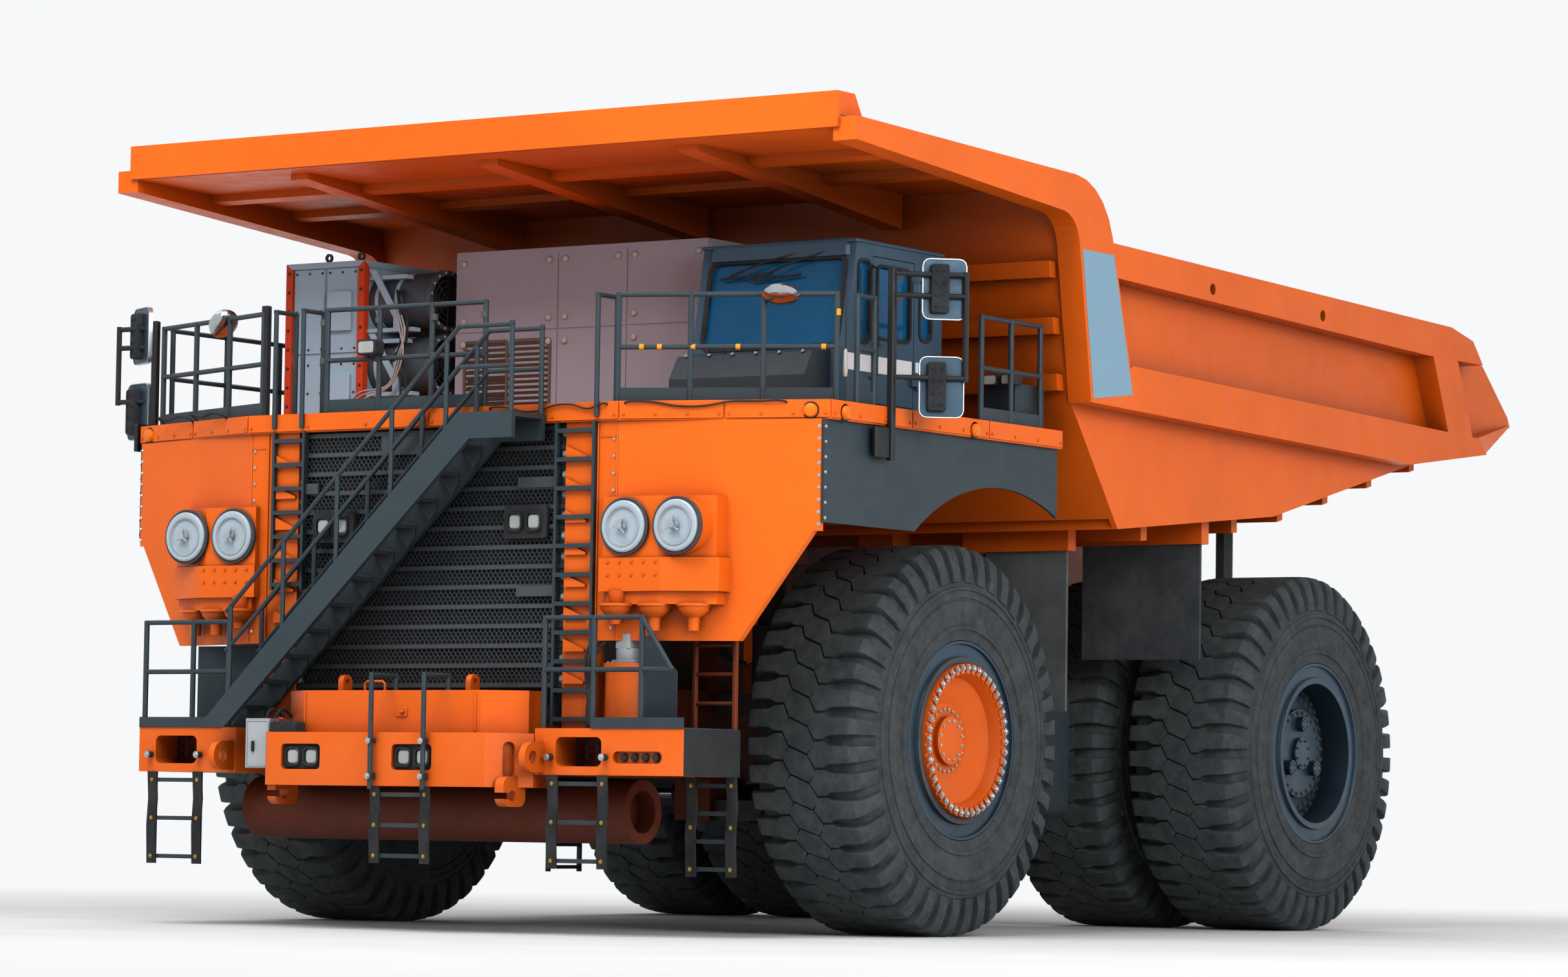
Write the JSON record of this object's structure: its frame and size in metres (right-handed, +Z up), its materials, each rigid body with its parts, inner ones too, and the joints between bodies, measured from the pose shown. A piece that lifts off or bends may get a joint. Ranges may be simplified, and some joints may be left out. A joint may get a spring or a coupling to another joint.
{
  "type": "mining dump truck",
  "caption": "Rigid mining dump truck with a tipping bed and full-length canopy, front stairway, offset cab, steered front wheels and twin rear wheels.",
  "frame": {"origin": "on the ground under the middle of the overall length and width", "axes": "+X forward along the truck, +Y to the driver's left, +Z up"},
  "size_m": [15.5331, 9.4404, 7.7799],
  "materials": {
    "orange_paint": "semi-gloss orange paint",
    "frame_paint": "dull orange paint",
    "dark_paint": "satin dark blue-grey paint",
    "black_paint": "satin black paint",
    "cab_paint": "satin blue-grey paint",
    "cabinet_paint": "satin mauve-grey paint",
    "grid_paint": "satin blue-grey paint",
    "cover_paint": "satin light grey paint",
    "rim_paint": "satin dark blue paint",
    "cast_steel": "rough cast steel",
    "bright_steel": "ground steel rod",
    "tyre_rubber": "dusty rubber",
    "flap_rubber": "matt rubber",
    "glass": "clear tinted glass",
    "lamp_glass": "clear lamp lens",
    "interior": "matt plastic"
  },
  "bodies": {
    "chassis": {"main_frame": "frame_paint", "engine": "cast_steel", "suspension": "cast_steel", "rear_axle": "cast_steel", "steering_cylinders": "black_paint", "side_tanks": "orange_paint", "bumper": "orange_paint", "lamps": "lamp_glass", "radiator_grille": "black_paint", "front_panels": "orange_paint", "air_cleaners": "orange_paint", "air_cleaner_covers": "cover_paint", "deck": "orange_paint", "fender_skirts": "dark_paint", "stairway": "dark_paint", "ladders": "dark_paint", "handrails": "dark_paint", "cab_shell": "cab_paint", "cab_glass": "glass", "cab_interior": "interior", "control_cabinet": "cabinet_paint", "grid_box": "grid_paint", "grid_blowers": "dark_paint", "equipment_boxes": "dark_paint", "lube_tank": "orange_paint", "mirrors": "dark_paint"},
    "front_wheel_left": {"front_hub_left": "orange_paint", "front_rim_left": "rim_paint", "front_tyre_left": "tyre_rubber"},
    "front_wheel_right": {"front_hub_right": "orange_paint", "front_rim_right": "rim_paint", "front_tyre_right": "tyre_rubber"},
    "rear_wheels_left": {"rear_wheel_left": "rim_paint", "rear_tyres_left": "tyre_rubber"},
    "rear_wheels_right": {"rear_wheel_right": "rim_paint", "rear_tyres_right": "tyre_rubber"},
    "left_knuckle": {"knuckle_left": "cast_steel"},
    "right_knuckle": {"knuckle_right": "cast_steel"},
    "steering_linkage": {"steering_link": "bright_steel"},
    "dump_bed": {"bed_floor": "orange_paint", "bed_underframe": "orange_paint", "bed_sides": "orange_paint", "bed_front_wall": "orange_paint", "bed_canopy": "orange_paint", "bed_guards": "flap_rubber"},
    "hoist_barrel_pair": {"hoist_barrels": "black_paint"},
    "hoist_stage_pair": {"hoist_stages": "bright_steel"},
    "hoist_rod_pair": {"hoist_rods": "bright_steel"},
    "cab_side_door": {"cab_door": "cab_paint", "door_glass": "glass"}
  },
  "joints": [
    {"name": "steer_left", "type": "hinge", "parent": "chassis", "child": "left_knuckle", "pos_m": [3.58, 2.48, 1.88], "axis": [0, 0, 1], "range_deg": [-30, 30]},
    {"name": "steer_right", "type": "hinge", "parent": "chassis", "child": "right_knuckle", "pos_m": [3.58, -2.48, 1.88], "axis": [0, 0, 1], "range_deg": [-30, 30]},
    {"name": "steering_slide", "type": "slide", "parent": "chassis", "child": "steering_linkage", "axis": [0, 1, 0], "range_m": [-0.36, 0.36]},
    {"name": "front_left_spin", "type": "hinge", "parent": "left_knuckle", "child": "front_wheel_left", "pos_m": [3.58, 3.27, 1.88], "axis": [0, 1, 0], "continuous": true},
    {"name": "front_right_spin", "type": "hinge", "parent": "right_knuckle", "child": "front_wheel_right", "pos_m": [3.58, -3.27, 1.88], "axis": [0, 1, 0], "continuous": true},
    {"name": "rear_left_spin", "type": "hinge", "parent": "chassis", "child": "rear_wheels_left", "pos_m": [-3.02, 2.8, 1.88], "axis": [0, 1, 0], "continuous": true},
    {"name": "rear_right_spin", "type": "hinge", "parent": "chassis", "child": "rear_wheels_right", "pos_m": [-3.02, -2.8, 1.88], "axis": [0, 1, 0], "continuous": true},
    {"name": "bed_hinge", "type": "hinge", "parent": "chassis", "child": "dump_bed", "pos_m": [-4.62, 0, 2.95], "axis": [0, -1, 0], "range_deg": [0, 45]},
    {"name": "hoist_swing", "type": "hinge", "parent": "chassis", "child": "hoist_barrel_pair", "pos_m": [-0.02, 0, 1.65], "axis": [0, -1, 0], "range_deg": [0, 11.42]},
    {"name": "hoist_stage_slide", "type": "slide", "parent": "hoist_barrel_pair", "child": "hoist_stage_pair", "axis": [-0.2912, 0, 0.9567], "range_m": [0, 1.5049]},
    {"name": "hoist_rod_slide", "type": "slide", "parent": "hoist_stage_pair", "child": "hoist_rod_pair", "axis": [-0.2912, 0, 0.9567], "range_m": [0, 1.5049]},
    {"name": "cab_door_hinge", "type": "hinge", "parent": "chassis", "child": "cab_side_door", "pos_m": [3.79, 3.49, 5.6], "axis": [0, 0, 1], "range_deg": [0, 80]}
  ],
  "couplings": [
    {"joint": "steer_right", "follows": "steer_left", "ratio": 1},
    {"joint": "steering_slide", "follows": "steer_left", "m_per_rad": -0.66845},
    {"joint": "hoist_swing", "follows": "bed_hinge", "ratio": 0.24936},
    {"joint": "hoist_stage_slide", "follows": "bed_hinge", "m_per_rad": 1.9097},
    {"joint": "hoist_rod_slide", "follows": "bed_hinge", "m_per_rad": 1.9097}
  ]
}
